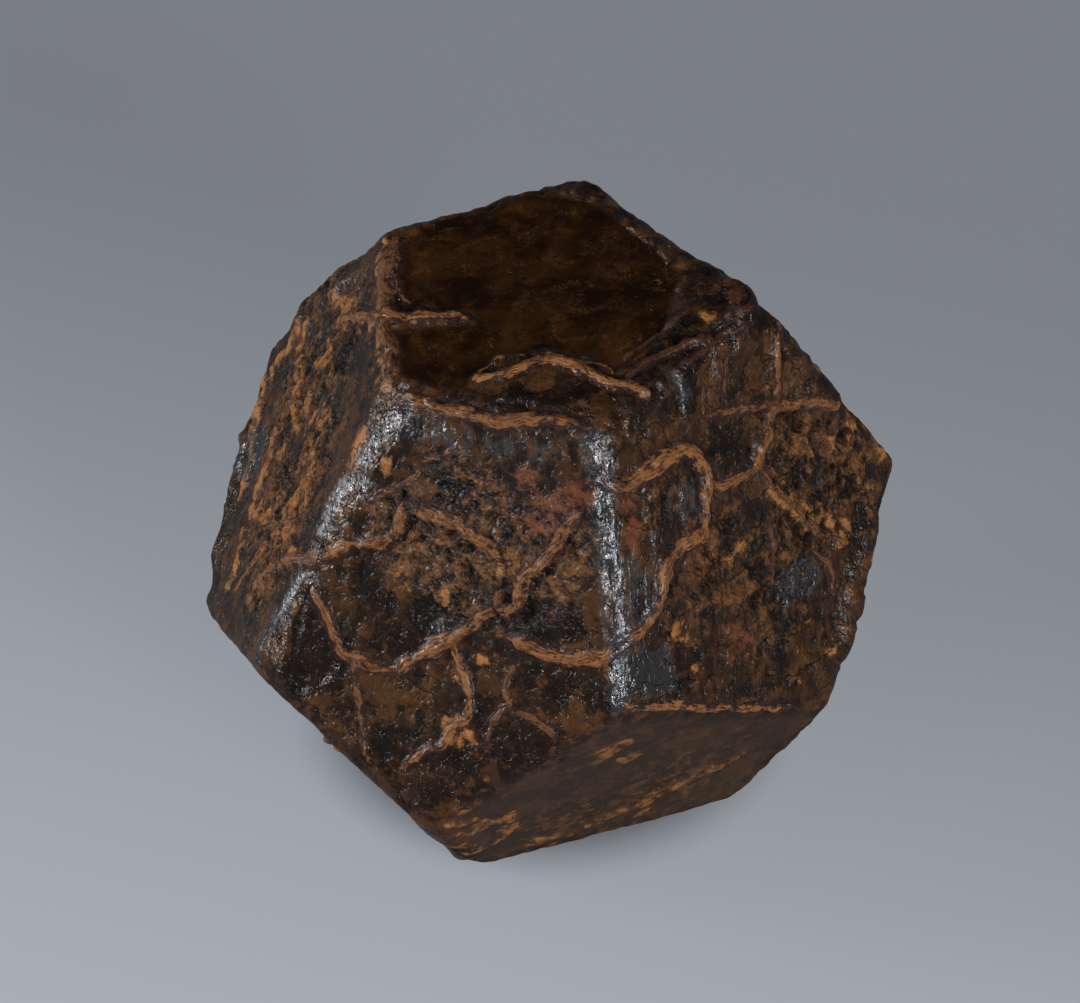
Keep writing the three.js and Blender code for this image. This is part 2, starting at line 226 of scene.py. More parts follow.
# %% The routes of the veins
VEINS = {
    "top_spur": (0.75, 0.34, 0.85, (
        (158, 43), (166, 50), (-170, 63), (-163, 69), (-158, 72), (-147, 75))),
    "top_rim": (0.3, 0.2, 0.75, ((153, 61), (166, 63), (176, 64), (-175, 66), (-168, 68))),
    "top_loop": (0.75, 0.4, 1.0, (
        (-113, 62), (-103, 65), (-92, 67), (-80, 67), (-72, 63), (-67, 60), (-62, 57), (-59, 55))),
    "loop_lip": (0.22, 0.16, 0.9, (
        (-114, 61), (-114, 65), (-108, 69), (-92, 70), (-77, 68), (-70, 65), (-63, 63), (-62, 60))),
    "top_left_edge": (0.8, 0.3, 0.7, (
        (-137, 52), (-126, 55), (-117, 55), (-108, 55), (-99, 55), (-91, 55), (-83, 54), (-77, 52))),
    "top_side_edge": (0.9, 0.3, 0.55, (
        (144, 59), (157, 60), (173, 61), (-173, 61), (-155, 60), (-144, 56), (-137, 53))),
    "edge_layer_upper": (0.36, 0.22, 0.12, ((-60, 62), (-47, 64), (-35, 63), (-25, 62))),
    "edge_layer_middle": (0.42, 0.28, 0.1, ((-61, 59), (-48, 60), (-35, 59), (-25, 58), (-15, 55))),
    "edge_layer_lower": (0.32, 0.2, 0.1, ((-59, 56), (-48, 57), (-37, 57), (-26, 56), (-16, 53))),
    "ring": (0.78, 0.34, 0.9, (
        (-79, 44), (-69, 43), (-65, 44), (-57, 45), (-50, 45), (-47, 42), (-46, 38), (-49, 35),
        (-52, 30), (-59, 29), (-63, 28), (-65, 25), (-67, 21), (-70, 18), (-74, 17), (-78, 15),
        (-82, 14), (-85, 14), (-91, 15), (-96, 16))),
    "right_branch": (0.65, 0.28, 0.7, (
        (-46, 37), (-39, 35), (-32, 35), (-29, 37), (-25, 39), (-22, 41), (-17, 38), (-12, 35),
        (-8, 31))),
    "upper_stem": (0.46, 0.2, 0.55, ((-24, 40), (-20, 42), (-17, 46), (-14, 49), (-12, 51))),
    "upper_branch": (0.42, 0.17, 0.5, ((-42, 48), (-33, 46), (-25, 43), (-20, 42))),
    "upper_thread": (0.38, 0.14, 0.4, ((-39, 53), (-41, 51), (-43, 48))),
    "upper_thread_right": (0.36, 0.13, 0.35, ((-29, 54), (-32, 51), (-34, 48))),
    "right_branch_low": (0.32, 0.16, 0.5, (
        (-31, 34), (-29, 28), (-27, 24), (-25, 18), (-21, 13), (-19, 10))),
    "dark_seam": (0.32, 0.15, 0.12, ((-33, 26), (-34, 19), (-37, 13))),
    "patch_seam": (0.4, 0.16, 0.35, ((-26, 13), (-24, 9), (-25, 4), (-27, 0))),
    "bar": (0.72, 0.34, 0.75, (
        (-158, 0), (-156, 6), (-151, 11), (-140, 20), (-136, 22), (-133, 25), (-127, 28), (-124, 32),
        (-122, 37), (-116, 37), (-108, 36), (-101, 33), (-97, 31))),
    "stroke": (0.7, 0.3, 0.8, (
        (-81, 39), (-85, 36), (-89, 31), (-92, 28), (-95, 22), (-100, 20), (-105, 15), (-110, 11),
        (-115, 7), (-118, 4))),
    "hook": (0.5, 0.24, 0.7, (
        (-139, 19), (-137, 14), (-134, 11), (-131, 7), (-128, 4), (-126, 4), (-122, 4))),
    "hook_low": (0.38, 0.18, 0.5, ((-127, 4), (-125, 0), (-123, -5), (-121, -9), (-119, -12))),
    "drip": (0.5, 0.24, 0.85, (
        (-107, 12), (-104, 8), (-103, 4), (-102, 0), (-105, -3), (-107, -6), (-112, -10), (-114, -12))),
    "hair": (0.42, 0.16, 0.4, ((-94, 12), (-95, 7), (-94, 3), (-90, 2), (-86, 0))),
    "hair_side": (0.36, 0.12, 0.3, ((-94, 4), (-97, 1), (-99, -4))),
    "stroke_end": (0.4, 0.2, 0.65, ((-114, 8), (-118, 5), (-123, 3), (-127, 3))),
    "sill_edge": (0.55, 0.26, 0.9, (
        (-78, 14), (-78, 11), (-77, 8), (-74, 6), (-66, 2), (-51, -6), (-36, -12))),
    "left_worn_ridge": (0.4, 0.22, 0.3, ((-132, 49), (-134, 46), (-135, 44), (-136, 40), (-138, 37))),
    "left_light_ridge": (0.3, 0.15, 0.35, (
        (-111, 52), (-116, 48), (-120, 46), (-122, 42), (-126, 39), (-132, 35))),
    "back_long": (0.78, 0.34, 0.9, (
        (88, 62), (80, 52), (66, 42), (56, 30), (52, 16), (58, 2), (70, -10), (80, -20), (84, -32))),
    "back_fork": (0.66, 0.3, 0.75, (
        (60, 36), (44, 34), (32, 24), (20, 16), (12, 4), (10, -10), (4, -20), (8, -32))),
    "back_side": (0.72, 0.34, 0.8, (
        (120, 52), (116, 40), (126, 28), (134, 14), (130, 0), (138, -14), (148, -26), (152, -38))),
    "under_loop": (0.66, 0.28, 0.7, (
        (148, -26), (164, -22), (178, -28), (-168, -36), (-154, -38), (-142, -30), (-134, -18))),
    "under_fork": (0.45, 0.24, 0.65, ((14, -18), (26, -22), (38, -18), (50, -26), (62, -28), (70, -38))),
    "side_streak": (0.42, 0.2, 0.8, ((-168, 34), (-172, 22), (-174, 10), (-170, -2), (-172, -12))),
}


def smooth_route(places, step=0.12):
    """Points along a smooth line through the places, close together."""
    knots = np.array([spot(place) for place in places])
    knots = np.vstack((2 * knots[0] - knots[1], knots, 2 * knots[-1] - knots[-2]))
    line = []
    for a, b, c, d in zip(knots, knots[1:], knots[2:], knots[3:]):
        for t in np.arange(0, 1, step / max(np.linalg.norm(c - b), step)):
            line.append(0.5 * (2 * b + (c - a) * t + (2 * a - 5 * b + 4 * c - d) * t ** 2
                               + (3 * b - a - 3 * c + d) * t ** 3))
    line.append(knots[-2])
    return np.array(line)


def near_line(line, reach):
    """For the vertices near a line: which they are, how far off and to which side, and how far along."""
    picked = np.flatnonzero(((roamed > line.min(0) - reach) & (roamed < line.max(0) + reach)).all(1))
    offsets = roamed[picked, None] - line[None]
    spans = np.linalg.norm(offsets, axis=2)
    nearest = spans.argmin(1)
    away = spans[np.arange(len(picked)), nearest]
    course = np.gradient(line, axis=0)
    course /= np.linalg.norm(course, axis=1)[:, None]
    lengths = np.concatenate(([0], np.cumsum(np.linalg.norm(np.diff(line, axis=0), axis=1))))
    offset = offsets[np.arange(len(picked)), nearest]
    along = lengths[nearest] + (offset * course[nearest]).sum(1)
    sideways = np.cross(course[nearest], outward[picked])
    across = (offset * sideways).sum(1)
    return picked, away, across, along, lengths[-1]


VEIN_SLIM = 0.95
VEIN_REACH = 1.6
VEIN_TAPER = 0.9
vein_core = np.full(COUNT, -1.0)
vein_lift = np.zeros(COUNT)
vein_tone = np.zeros(COUNT)
fibre_place = np.zeros((COUNT, 3))
swell = wave(skin, 1.1, 2, 21.0)
for number, (width, height, tone, places) in enumerate(VEINS.values()):
    picked, away, across, along, length = near_line(smooth_route(places), VEIN_REACH)
    half = VEIN_SLIM * width / 2 * (1 + 0.4 * swell[picked])
    taper = np.clip(np.minimum(along, length - along) / VEIN_TAPER, 0.0, 1) ** 0.5
    core = 1 - away / (half * (0.35 + 0.65 * taper))
    stronger = core > vein_core[picked]
    chosen = picked[stronger]
    vein_core[chosen] = core[stronger]
    vein_tone[chosen] = tone
    fibre_place[chosen] = np.stack((across, along, np.full(len(picked), 7.0 * number)), 1)[stronger]
    profile = np.clip(1 - (1 - np.clip(core, 0, 1)) ** 2, 0, 1) ** 0.8
    vein_lift[picked] = np.maximum(vein_lift[picked], height * profile * (0.4 + 0.6 * taper))
print("veins:", len(VEINS), "and %.0f%% of the skin lies on them" % (100 * (vein_core > 0).mean()))

# %% [markdown]
# ## Ochre crust
#
# On the left side the rust has spread from the cracks as a loose, bumpy net of ochre. It lies along
# lines as the veins do, but it is broader and has no clear border, so only its middle is raised and
# the rest is left to the stain that comes later.

# %% The net of ochre crust
CRUSTS = {
    "side_trunk": (1.5, (
        (178, 34), (-168, 35), (-166, 30), (-164, 25), (-157, 25), (-159, 22), (-169, 11))),
    "side_junction": (1.3, ((-165, 12), (-153, 14), (-145, 16), (-139, 20))),
    "side_low": (1.2, ((-155, 8), (-156, 4), (-156, 0))),
    "corner_net": (0.85, ((-30, 30), (-28, 25), (-26, 19), (-22, 14), (-19, 10))),
    "side_left": (1.0, ((143, 26), (147, 19), (156, 21), (164, 19), (172, 21))),
    "side_middle": (1.4, ((160, 9), (166, 5), (169, 1), (172, -2), (-177, 4), (-160, 11))),
    "side_far": (1.4, ((142, 21), (143, 10), (144, 2), (150, -4))),
    "side_far_low": (1.3, ((147, 1), (156, -2), (163, -7))),
    "side_outer": (1.2, ((173, -7), (180, -9), (-177, -13))),
    "spur_end": (1.2, ((144, 35), (155, 44), (168, 52), (-169, 61))),
    "rim_band": (1.5, (
        (147, 57), (156, 59), (167, 61), (179, 61), (-163, 60), (-147, 57), (-139, 53))),
    "back_net": (1.4, ((70, 10), (84, 4), (98, 8), (112, -2), (124, -12))),
    "sill_low": (0.75, ((-92, -45), (-80, -46), (-68, -42), (-58, -37), (-49, -32), (-43, -27))),
    "sill_ring": (0.8, ((-105, -20), (-100, -24), (-95, -29), (-97, -35), (-105, -35))),
    "under_net": (1.2, ((-172, -24), (-158, -20), (-146, -24), (-132, -22))),
}
CRUST_REACH = 2.0
CRUST_TAPER = 1.2
crust = np.full(COUNT, -1.0)
for width, places in CRUSTS.values():
    picked, away, _, along, length = near_line(smooth_route(places), CRUST_REACH)
    taper = np.clip(np.minimum(along, length - along) / CRUST_TAPER, 0.0, 1) ** 0.5
    crust[picked] = np.maximum(crust[picked], 1 - away / (width / 2 * (0.5 + 0.5 * taper)))
print("crust lines:", len(CRUSTS))

# %% [markdown]
# ## Panes, pits, plates and dents
#
# Some of the crust has flaked off in sheets. It leaves smooth sunken panes, low plates that still
# stand, and a black three-cornered pit. Each is drawn as an outline of places on one face. Booleans
# could cut them, but they would leave knife edges; the vertices inside an outline are lowered or
# raised instead, with a short slope at the border.

# %% Outlines on the faces
TOP_PANE = (
    (145, 60), (161, 63), (177, 64), (-173, 66), (-168, 68), (-154, 76), (-142, 75), (-158, 68),
    (-165, 62), (-151, 60), (-139, 57), (-126, 58), (-113, 60), (-114, 65), (-109, 69), (-92, 71),
    (-77, 69), (-68, 65), (-62, 61), (-50, 62), (-36, 63), (-24, 65), (-3, 65), (30, 69), (66, 66),
    (89, 64), (112, 63), (132, 61))
PANES = (
    ("top", TOP_PANE),
    ("back_high", ((100, 44), (92, 38), (88, 28), (94, 18), (104, 12), (116, 16), (122, 26), (114, 36))),
    ("under_right", ((-8, -14), (-14, -22), (-12, -32), (0, -36), (4, -28), (2, -18))),
)
PITS = (
    ("left", ((-138, 13), (-135, 9), (-130, 5), (-129, 2), (-130, -1), (-134, -4), (-137, -1), (-139, 6))),
    ("back_low", ((50, -8), (60, -14), (56, -24), (48, -20))),
)
PLATES = (
    ("top", ((-7, 65), (-26, 64), (-37, 63), (-32, 61), (-23, 60), (-14, 59), (-8, 62))),
    ("top", ((-105, 63), (-92, 66), (-80, 66), (-71, 61), (-73, 56), (-83, 56), (-95, 58), (-104, 59))),
    ("left", (
        (-129, 49), (-115, 52), (-117, 49), (-122, 46), (-124, 42), (-129, 39), (-133, 40), (-131, 45))),
    ("right", ((-66, 42), (-61, 44), (-53, 44), (-49, 41), (-50, 37), (-53, 32), (-59, 31), (-66, 25))),
    ("right", ((-46, 57), (-37, 57), (-42, 51), (-48, 48), (-50, 50))),
    ("right", ((-66, 55), (-58, 56), (-50, 57), (-51, 54), (-58, 53), (-64, 50), (-68, 49))),
    ("right", ((-33, 56), (-22, 55), (-24, 52), (-30, 51), (-35, 52))),
    ("shoulder", ((30, 48), (16, 38), (22, 30), (36, 40))),
    ("back_low", ((72, -18), (84, -14), (86, -26), (74, -32))),
)
DENTS = (
    ((-113, 17), 1.7, 0.3), ((-92, 21), 1.1, 0.3), ((-28, 57), 0.7, 0.15), ((-56, 55), 0.9, 0.15),
    ((28, 26), 1.6, 0.3), ((160, -14), 1.4, 0.3), ((-160, -28), 1.2, 0.3),
)


def inside(face, outline):
    """How far inside an outline each vertex is, in millimetres, and below 0 outside it."""
    number = FACE_NAMES.index(face)
    normal = NORMALS[number]
    across = np.cross((0, 0, 1), normal)
    if np.linalg.norm(across) < 1e-3:
        across = np.array((1.0, 0, 0))
    across /= np.linalg.norm(across)
    up = np.cross(normal, across)
    flat = np.stack((roamed @ across, roamed @ up), 1)
    rays = [direction(place) for place in outline]
    corners = [ray * REACHES[number] / (normal @ ray) for ray in rays]
    corners = np.array([(corner @ across, corner @ up) for corner in corners])
    nearest = np.full(COUNT, 1e9)
    within = np.zeros(COUNT, bool)
    for a, b in zip(corners, np.roll(corners, -1, 0)):
        side = b - a
        t = np.clip(((flat - a) @ side) / (side @ side), 0, 1)
        nearest = np.minimum(nearest, np.linalg.norm(flat - a - t[:, None] * side, axis=1))
        spans = (a[1] > flat[:, 1]) != (b[1] > flat[:, 1])
        rise = np.where(abs(side[1]) < 1e-12, 1e-12, side[1])
        crossing = a[0] + (flat[:, 1] - a[1]) / rise * side[0]
        within ^= spans & (flat[:, 0] < crossing)
    on_face = gaps[:, number] > -0.9
    return np.where(on_face, np.where(within, nearest, -nearest), -9.0)


pane = np.max([inside(*each) for each in PANES], axis=0)
pit = np.max([inside(*each) for each in PITS], axis=0)
plate = np.max([inside(*each) for each in PLATES], axis=0)
dent_lift = np.zeros(COUNT)
hollow = np.zeros(COUNT)
for place, width, depth in DENTS:
    part = np.clip(1 - (np.linalg.norm(roamed - spot(place), axis=1) / (width / 2)) ** 2, 0, 1)
    dent_lift -= depth * part ** 0.7
    hollow = np.maximum(hollow, ease(part, 0, 0.5))
hollow = np.maximum(hollow, ease(pit, -0.15, 0.2))
print("panes cover %.0f%% of the skin" % (100 * (pane > 0).mean()))

# %% [markdown]
# ## Stains
#
# Colour follows history: ochre dust, red rust, golden grain, black bare crust, and grey metal where
# the skin is worn. Each kind is a list of round patches, with a place, a radius in millimetres and
# a strength. Along the worn edges the metal runs in long bands instead, drawn as the veins are, and
# a few patches are only matt with dust. All are soft hints, kept as attributes on the vertices; the
# material breaks their borders up later with fine noise.

# %% Patches of each stain
OCHRE = (
    (-128.5, 42, 0.5, 1.0), (-107, 45.5, 0.34, 0.9), (-117.5, 22, 0.3, 0.8), (-110.5, 22, 0.45, 1.0),
    (-112, 22.5, 0.35, 0.9), (-98, 29.5, 0.25, 0.8), (-103.5, 7, 0.5, 1.0), (-103, 4.5, 0.4, 0.9),
    (-99, 8, 0.3, 0.9), (-105, -3, 0.6, 1.0), (-102, -4, 0.4, 0.7), (-100, 9, 0.4, 1.0),
    (-104, 9, 0.45, 1.0), (-126, 4, 0.35, 0.9), (-98, -9, 0.35, 0.7), (-140.5, 44, 0.5, 0.8),
    (-141.5, 39, 0.5, 0.9), (-120, 23.5, 0.25, 0.6), (-101.5, -25, 0.8, 0.9), (-95.5, -27, 0.7, 0.7),
    (-97, -33, 0.7, 0.8), (-105, -32, 0.6, 0.8), (-75, -7, 0.45, 0.9), (-78, -9.5, 0.75, 1.0),
    (-71, -13, 0.6, 0.7), (-73, -8, 0.4, 0.7), (-49, -32, 0.6, 0.5), (-43, -27, 0.5, 0.5),
    (-60, -36, 0.6, 0.5), (-67, -38, 0.5, 0.5), (-62, -43, 0.7, 0.5), (-83, -47, 0.7, 0.5),
    (-88, -44, 0.6, 0.45), (-103, -17, 0.5, 0.6), (-42, 23, 0.42, 1.0), (-46, 22, 0.45, 0.7),
    (-50.5, 11.5, 0.28, 0.8), (-50, 21, 0.25, 0.6), (-45.5, 1, 0.4, 0.5), (-62.5, 14, 0.55, 0.8),
    (-59, 8, 0.7, 0.35), (-32, 1.5, 0.26, 0.8), (-38.5, -6, 0.3, 0.9), (-27, -3, 0.6, 0.4),
    (-30, -6, 0.5, 0.4), (-24, 18, 0.9, 0.65), (-20, 15, 0.8, 0.7), (-17, 12, 0.7, 0.5),
    (-28, 22, 0.6, 0.5), (-15, 20, 0.6, 0.3), (-12, 26, 0.7, 0.3), (-17, 27, 0.8, 0.25),
    (-22, 31, 0.7, 0.25), (-10, 16, 0.5, 0.4), (-25, 60, 0.45, 0.55), (-31, 58, 0.5, 0.6),
    (-22, 57.5, 0.35, 0.7), (-160, 12, 0.9, 0.9), (-156, 6, 0.8, 1.0), (-166, 20, 0.8, 0.7),
    (178, 32, 0.9, 0.7), (-172, 26, 0.7, 0.8), (168, 26, 0.8, 0.7), (160, 34, 0.7, 0.8),
    (156, 40, 0.6, 0.8), (172, 12, 0.7, 0.6), (-178, 18, 0.6, 0.6), (-168, 4, 0.8, 0.7),
    (-163, -4, 0.7, 0.6), (162, 18, 0.6, 0.7), (150, 30, 0.5, 0.9), (-4, 18, 0.7, 0.7),
    (-6, 26, 0.6, 0.7), (-8, 40, 0.5, 0.8), (20, 40, 1.2, 0.8), (38, 46, 0.9, 0.6), (30, 20, 1.0, 0.9),
    (44, 10, 1.1, 0.7), (64, 20, 0.9, 0.6), (80, 30, 0.9, 0.8), (96, -6, 1.0, 0.9), (112, 6, 0.8, 0.6),
    (126, -18, 1.2, 0.8), (140, -28, 0.9, 0.7), (158, -30, 1.2, 0.8), (176, -34, 1.0, 0.6),
    (-150, -24, 1.2, 0.8), (-136, -34, 1.0, 0.7), (20, -20, 1.1, 0.8), (30, -32, 1.0, 0.7),
    (62, -24, 1.2, 0.8),
)
RED = (
    (-92, 41, 0.9, 0.9), (-86, 40, 0.9, 1.0), (-81, 42, 0.8, 0.9), (-94, 45, 0.7, 0.8),
    (-89, 37, 0.6, 0.8), (-97, 42, 0.7, 0.7), (-50, 6, 0.9, 1.0), (-50, 9, 0.6, 0.9),
    (-69, 39, 0.6, 1.0), (-69, 36, 0.6, 1.0), (-71, 33, 0.5, 0.9), (-49, 3.5, 0.3, 0.7),
    (-20, 66, 0.9, 0.5), (-12, 60, 0.8, 0.6), (-96, -14, 0.5, 0.5), (-42, 12, 0.5, 0.4),
    (-8, 6, 0.7, 0.7), (34, 34, 1.0, 0.7), (70, 4, 0.9, 0.8), (124, 20, 1.0, 0.6), (150, -20, 0.9, 0.7),
    (44, -24, 0.9, 0.7),
)
GRAIN = (
    (-118, 33, 2.0, 0.9), (-108, 30, 2.2, 1.0), (-98, 34, 2.2, 0.9), (-110, 40, 1.8, 0.8),
    (-98, 25, 1.8, 1.0), (-88, 28, 1.6, 0.9), (-104, 24, 1.6, 0.9), (-86, 34, 1.6, 0.8),
    (-62, 38, 0.9, 0.4), (-20, 30, 2.6, 0.6), (-14, 22, 2.6, 0.6), (-28, 20, 2.2, 0.5),
    (-50, 24, 2.4, 0.5), (-40, 14, 2.4, 0.5), (-60, 20, 1.4, 0.35), (-165, 25, 3.0, 0.9),
    (-175, 10, 3.0, 0.9), (165, 40, 2.6, 0.9), (160, 20, 3.0, 0.9), (-160, 5, 2.6, 0.8),
    (-60, -35, 3.0, 0.5), (-80, -40, 3.0, 0.4), (25, 40, 3.0, 0.8), (30, 10, 3.5, 0.8),
    (60, 30, 3.0, 0.6), (110, -10, 3.5, 0.8), (70, -25, 3.0, 0.8), (-150, -35, 3.0, 0.8),
    (160, -30, 3.0, 0.8), (20, -28, 2.6, 0.7), (130, 30, 3.0, 0.7),
)
BARE = (
    (-105, -6, 2.6, 0.54), (-118, 10, 2.2, 0.5), (-100, 1, 2.0, 0.54), (-90, 10, 1.6, 0.5),
    (-110, 18, 1.6, 0.45), (-92, -2, 2.0, 0.54), (-118, -8, 2.0, 0.54), (-125, -4, 1.6, 0.54),
    (-20, 60, 0.8, 0.8), (-40, 60, 0.7, 0.8), (-50, 59, 0.7, 0.8), (-10, 62, 1.2, 0.6),
    (-6, 58, 1.0, 0.6), (-30, 61, 0.7, 0.7), (-16, 64, 1.0, 0.5), (-24, 56, 0.7, 0.7),
    (-132, 1, 1.6, 1.0), (-113.5, 15, 0.95, 1.0), (-91.5, 22, 0.5, 1.0), (-92, 18, 1.1, 0.9),
    (-84, 20, 0.8, 0.8), (-28, 57.5, 0.5, 1.0), (-46, 53, 1.0, 0.7), (-42, 56, 0.7, 0.7),
    (-38, 41, 1.3, 0.7), (-34, 43, 0.8, 0.6), (-17, 54, 0.9, 0.8), (-66, 60, 0.5, 0.8),
    (-60, 58, 0.6, 0.8), (-85, 57, 1.2, 0.9), (-96, 59, 1.0, 0.9), (-75, 59, 0.8, 0.8),
    (-122, 15, 1.6, 0.6), (-128, 20, 1.4, 0.5), (-124, 37, 0.8, 0.6), (-116, 44, 0.8, 0.5),
    (-86, 8, 1.2, 0.6), (-80, 7, 1.0, 0.8), (-96, -5, 1.2, 0.6), (-112, -4, 1.4, 0.4),
    (-108, -14, 1.2, 0.6), (-116, -12, 1.0, 0.6), (-170, 38, 1.0, 0.8), (172, 44, 0.9, 0.9),
    (178, 20, 0.8, 0.8), (166, 12, 0.9, 0.8), (-176, 2, 0.9, 0.7), (-168, 16, 0.6, 0.7),
    (-34, 26, 0.7, 0.6), (-36, 3, 0.9, 0.5), (-44, 28, 0.6, 0.5), (-12, 30, 0.4, 0.7),
    (-20, 22, 0.35, 0.8), (-14, 16, 0.35, 0.7), (-66, 5, 0.8, 0.4), (10, 46, 1.2, 0.8),
    (50, 22, 1.4, 0.8), (74, 40, 1.3, 0.7), (40, -8, 1.3, 0.8), (90, 2, 1.2, 0.8), (118, -4, 1.3, 0.7),
    (142, 4, 1.2, 0.8), (164, -24, 1.4, 0.7), (-160, -18, 1.3, 0.8), (50, -34, 1.2, 0.7),
)
SILVER = (
    (-76, 48, 0.8, 1.0), (-129, 51, 0.8, 0.6), (-134, 37, 0.6, 0.5), (-130, 36, 0.5, 0.5),
    (-120, 51.5, 1.0, 0.5), (-110, 51, 1.2, 0.45), (-98, 51, 1.2, 0.4), (-89, 50, 1.0, 0.5),
    (-72, 30, 0.6, 0.6), (-71, 26, 0.9, 0.75), (-71, 21, 0.9, 0.8), (-73, 15, 0.6, 0.7),
    (-74, 46, 0.6, 0.8), (-55, 39, 0.8, 0.55), (-56, 35, 0.8, 0.55), (-46, 54.5, 0.8, 0.45),
    (-132, 24, 0.35, 0.6), (148, 46, 0.5, 0.6), (140, 34, 0.5, 0.6), (14, 14, 0.7, 0.7),
    (36, 0, 0.8, 0.8), (76, 13, 0.9, 0.8), (90, 4, 0.8, 0.7), (120, 0, 0.8, 0.7), (140, 2, 0.8, 0.7),
    (73, 60, 0.7, 0.7), (170, -20, 0.7, 0.7), (-150, -14, 0.7, 0.6),
)
WORN_BANDS = (
    (1.25, ((-77, 50), (-76, 44), (-76, 36), (-75.5, 28), (-75.5, 20), (-76.5, 12), (-77, 7))),
    (1.1, ((-131, 51), (-135, 46), (-138, 40), (-141, 33), (-141, 25))),
    (0.9, ((-141, 17), (-143, 10), (-145, 3), (-146, -4))),
)
MATT = (
    (-5, 14, 2.2, 1.0), (-9, 6, 2.2, 1.0), (-14, -1, 2.0, 1.0), (-20, -5, 1.6, 1.0), (-4, 22, 1.6, 1.0),
)
SHINE_PATCHES = (
    ("right", ((-77, 15), (-66, 13), (-65, 8), (-66, 4), (-75, 8), (-76, 12))),
    ("right", ((-38, 12), (-34, 13), (-27, 12), (-26, 9), (-28, 6), (-36, 6), (-38, 9))),
    ("shoulder", ((38, 30), (48, 38), (56, 32), (46, 24))),
    ("side", ((150, 2), (160, 6), (164, -4), (154, -8))),
)

BAND_REACH = 1.5
BLOT = 2.2
blotted = skin + BLOT * roam


def stain(patches):
    """The strongest patch at each vertex: above 0 inside, and below it outside."""
    level = np.full(COUNT, -1.0)
    for bearing, rise, radius, strength in patches:
        away = np.linalg.norm(blotted - spot((bearing, rise)), axis=1)
        level = np.maximum(level, strength * np.clip(1 - away / radius, -1, 1) - (1 - strength) * 0.3)
    return level


ochre, red, grain, bare, silver = (stain(kind) for kind in (OCHRE, RED, GRAIN, BARE, SILVER))
ochre = np.maximum(ochre, 0.75 * crust - 0.15)
for width, places in WORN_BANDS:
    picked, away, _, _, _ = near_line(smooth_route(places), BAND_REACH)
    silver[picked] = np.maximum(silver[picked], 0.9 * (1 - away / (width / 2)))
shine = np.max([inside(*each) for each in SHINE_PATCHES], axis=0)
print("patches:", sum(len(kind) for kind in (OCHRE, RED, GRAIN, BARE, SILVER)))

# %% [markdown]
# ## Swollen edges
#
# In a few places the crust has swollen over an edge, which shows as soft humps in the outline. They
# are raised in the same way as the veins, but wide and smooth.

# %% Humps along the edges
HUMPS = {
    "near_corner": (2.2, 0.3, ((-2, 59), (-9, 58), (-15, 56), (-20, 54))),
    "top_far": (1.7, 0.14, ((98, 62), (86, 63), (74, 61), (64, 58))),
    "side_far": (2.1, 0.36, ((142, 38), (140, 30), (139, 20))),
    "side_low": (2.0, 0.3, ((150, -5), (158, -11), (166, -16))),
    "right_shoulder": (2.0, 0.3, ((-13, 51), (-11, 46), (-9, 40), (-8, 34))),
    "right_low": (1.9, 0.26, ((-14, 7), (-19, 1), (-25, -6))),
    "back_middle": (2.1, 0.3, ((48, 1), (57, 5), (67, 9))),
    "sill_left": (1.9, 0.2, ((-107, -24), (-106, -32), (-105, -39))),
}
hump_lift = np.zeros(COUNT)
for width, height, places in HUMPS.values():
    picked, away, _, _, _ = near_line(smooth_route(places), width)
    hump = height * ease(1 - away / width, 0.1, 0.95) * (1 + 0.5 * wave(skin[picked], 0.9, 2, 31.0))
    hump_lift[picked] = np.maximum(hump_lift[picked], hump)
print("the humps rise by up to %.2f mm" % hump_lift.max())

# %% [markdown]
# ## Relief
#
# Last come the small forms: gentle waves on every face, growth lines, coarse grain where the crust
# is rough, and chips along the edges. Each is a height in millimetres, and all of them are added and
# applied in one move along the smooth outward direction. The face that the crystal rests on stays
# flat, so that it sits well.

# %% Add up the heights and move the vertices
STREAKY = {"right": 1.0, "side": 0.4, "sill": 0.1, "left": 0.25, "top": 0.3}
DUSTY = {"sill": 1.0, "side": 0.25}
LONG_WAVES = 0.06
SHORT_WAVES = 0.03
GROWTH_LINES = 0.035
PANE_DROP = 0.08
PIT_DROP = 0.14
PLATE_RISE = 0.17
CRUST_RISE = 0.16
VEIN_GROOVE = 0.04
CHIP_DEPTH = 0.14
growth = []
for name, (_, _, _, partner) in FACES.items():
    normal = NORMALS[FACE_NAMES.index(name)]
    lines = np.cross(normal, NORMALS[FACE_NAMES.index(partner)])
    lines /= np.linalg.norm(lines)
    growth.append((np.cross(lines, normal), lines))
growth = np.array(growth)

across_lines = (skin * growth[own_face, 0]).sum(1)
along_lines = (skin * growth[own_face, 1]).sum(1)
line_place = np.stack((across_lines / 0.4, along_lines / 3.0, own_face * 5.0), 1)

in_pane = ease(pane, -0.05, 0.25)
on_sill = np.where(own_face == FACE_NAMES.index("sill"), ease(edge_gap, 0.2, 1.2), 0)
smooth = np.maximum(in_pane, 0.8 * on_sill)
on_vein = ease(vein_core, -0.1, 0.25)
rough = ease(grain, -0.3, 0.5) * (1 - in_pane)
edge_wear = 1 - ease(edge_gap, 0.15, 0.9)

